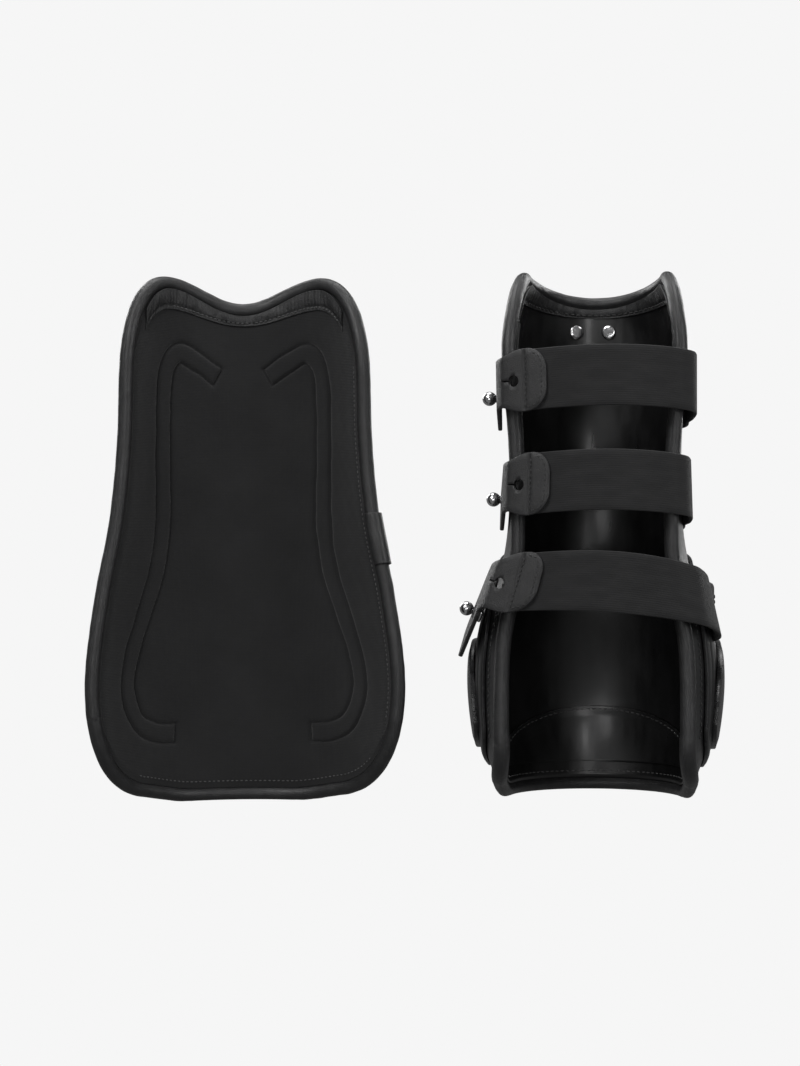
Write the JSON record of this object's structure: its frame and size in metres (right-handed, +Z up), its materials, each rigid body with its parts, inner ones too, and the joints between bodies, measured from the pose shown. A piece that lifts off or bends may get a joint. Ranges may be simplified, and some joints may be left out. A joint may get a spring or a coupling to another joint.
{
  "type": "tendon boot with removable liner",
  "caption": "Open-front tendon boot for a horse's lower leg, with elastic straps and ball-stud tabs, standing beside its removable padded liner.",
  "frame": {"origin": "centre of the footprint of the boot and liner together, on the plane both stand on", "axes": "+Z up the leg; +X from the liner towards the boot; -Y out of the boot's open front"},
  "size_m": [0.3098, 0.1186, 0.2623],
  "materials": {
    "moulded_leather": "smooth black",
    "gloss_shell": "glossy black",
    "foam": "closed-cell foam",
    "liner_cloth": "matt black knit",
    "elastic_web": "ribbed black elastic",
    "bright_metal": "polished"
  },
  "bodies": {
    "boot": {"outer_shell": "moulded_leather", "impact_foam": "foam", "shell_lining": "gloss_shell", "shell_edge_roll": "moulded_leather", "side_overlay": "moulded_leather", "strike_guard": "gloss_shell", "collar_facing": "moulded_leather", "fetlock_cup_panel": "gloss_shell", "loop_tape_left": "liner_cloth", "loop_tape_right": "liner_cloth", "badge_rivets": "bright_metal", "badge_plate": "gloss_shell", "stud_top": "bright_metal", "stud_middle": "bright_metal", "stud_bottom": "bright_metal", "stud_screws": "bright_metal", "strap_anchor_top": "elastic_web", "strap_anchor_middle": "elastic_web", "strap_anchor_bottom": "elastic_web"},
    "strap_top_body": {"elastic_top": "elastic_web", "tab_patch_top": "moulded_leather"},
    "tab_top_body": {"tab_top": "moulded_leather"},
    "strap_middle_body": {"elastic_middle": "elastic_web", "tab_patch_middle": "moulded_leather"},
    "tab_middle_body": {"tab_middle": "moulded_leather"},
    "strap_bottom_body": {"elastic_bottom": "elastic_web", "tab_patch_bottom": "moulded_leather"},
    "tab_bottom_body": {"tab_bottom": "moulded_leather"},
    "liner": {"liner_core": "foam", "liner_face": "liner_cloth", "liner_backing": "liner_cloth", "liner_binding": "moulded_leather", "binding_joint": "moulded_leather", "liner_collar_facing": "moulded_leather", "hook_tape_left": "liner_cloth", "hook_tape_right": "liner_cloth"}
  },
  "joints": [
    {"name": "strap_top_swing", "type": "hinge", "parent": "boot", "child": "strap_top_body", "pos_m": [0.1367, -0.01507, 0.201], "axis": [0, 0, 1], "range_deg": [0, 26]},
    {"name": "tab_top_fold", "type": "hinge", "parent": "strap_top_body", "child": "tab_top_body", "pos_m": [0.04161, -0.03961, 0.20348], "axis": [-0.0174, 0.0011, 0.9998], "range_deg": [0, 150]},
    {"name": "strap_middle_swing", "type": "hinge", "parent": "boot", "child": "strap_middle_body", "pos_m": [0.13506, -0.01541, 0.1505], "axis": [0, 0, 1], "range_deg": [0, 26]},
    {"name": "tab_middle_fold", "type": "hinge", "parent": "strap_middle_body", "child": "tab_middle_body", "pos_m": [0.04475, -0.04044, 0.15404], "axis": [0.0349, -0.0009, 0.9994], "range_deg": [0, 150]},
    {"name": "strap_bottom_swing", "type": "hinge", "parent": "boot", "child": "strap_bottom_body", "pos_m": [0.14746, -0.01812, 0.093], "axis": [0, 0, 1], "range_deg": [0, 26]},
    {"name": "tab_bottom_fold", "type": "hinge", "parent": "strap_bottom_body", "child": "tab_bottom_body", "pos_m": [0.03649, -0.04119, 0.10731], "axis": [0.309, 0.0027, 0.9511], "range_deg": [0, 150]},
    {"name": "liner_lift", "type": "slide", "parent": "boot", "child": "liner", "axis": [0, 0, 1], "range_m": [0, 0.3]}
  ],
  "couplings": [
    {"joint": "strap_top_swing", "follows": "tab_top_fold", "ratio": 0.17},
    {"joint": "strap_middle_swing", "follows": "tab_middle_fold", "ratio": 0.17},
    {"joint": "strap_bottom_swing", "follows": "tab_bottom_fold", "ratio": 0.17}
  ]
}
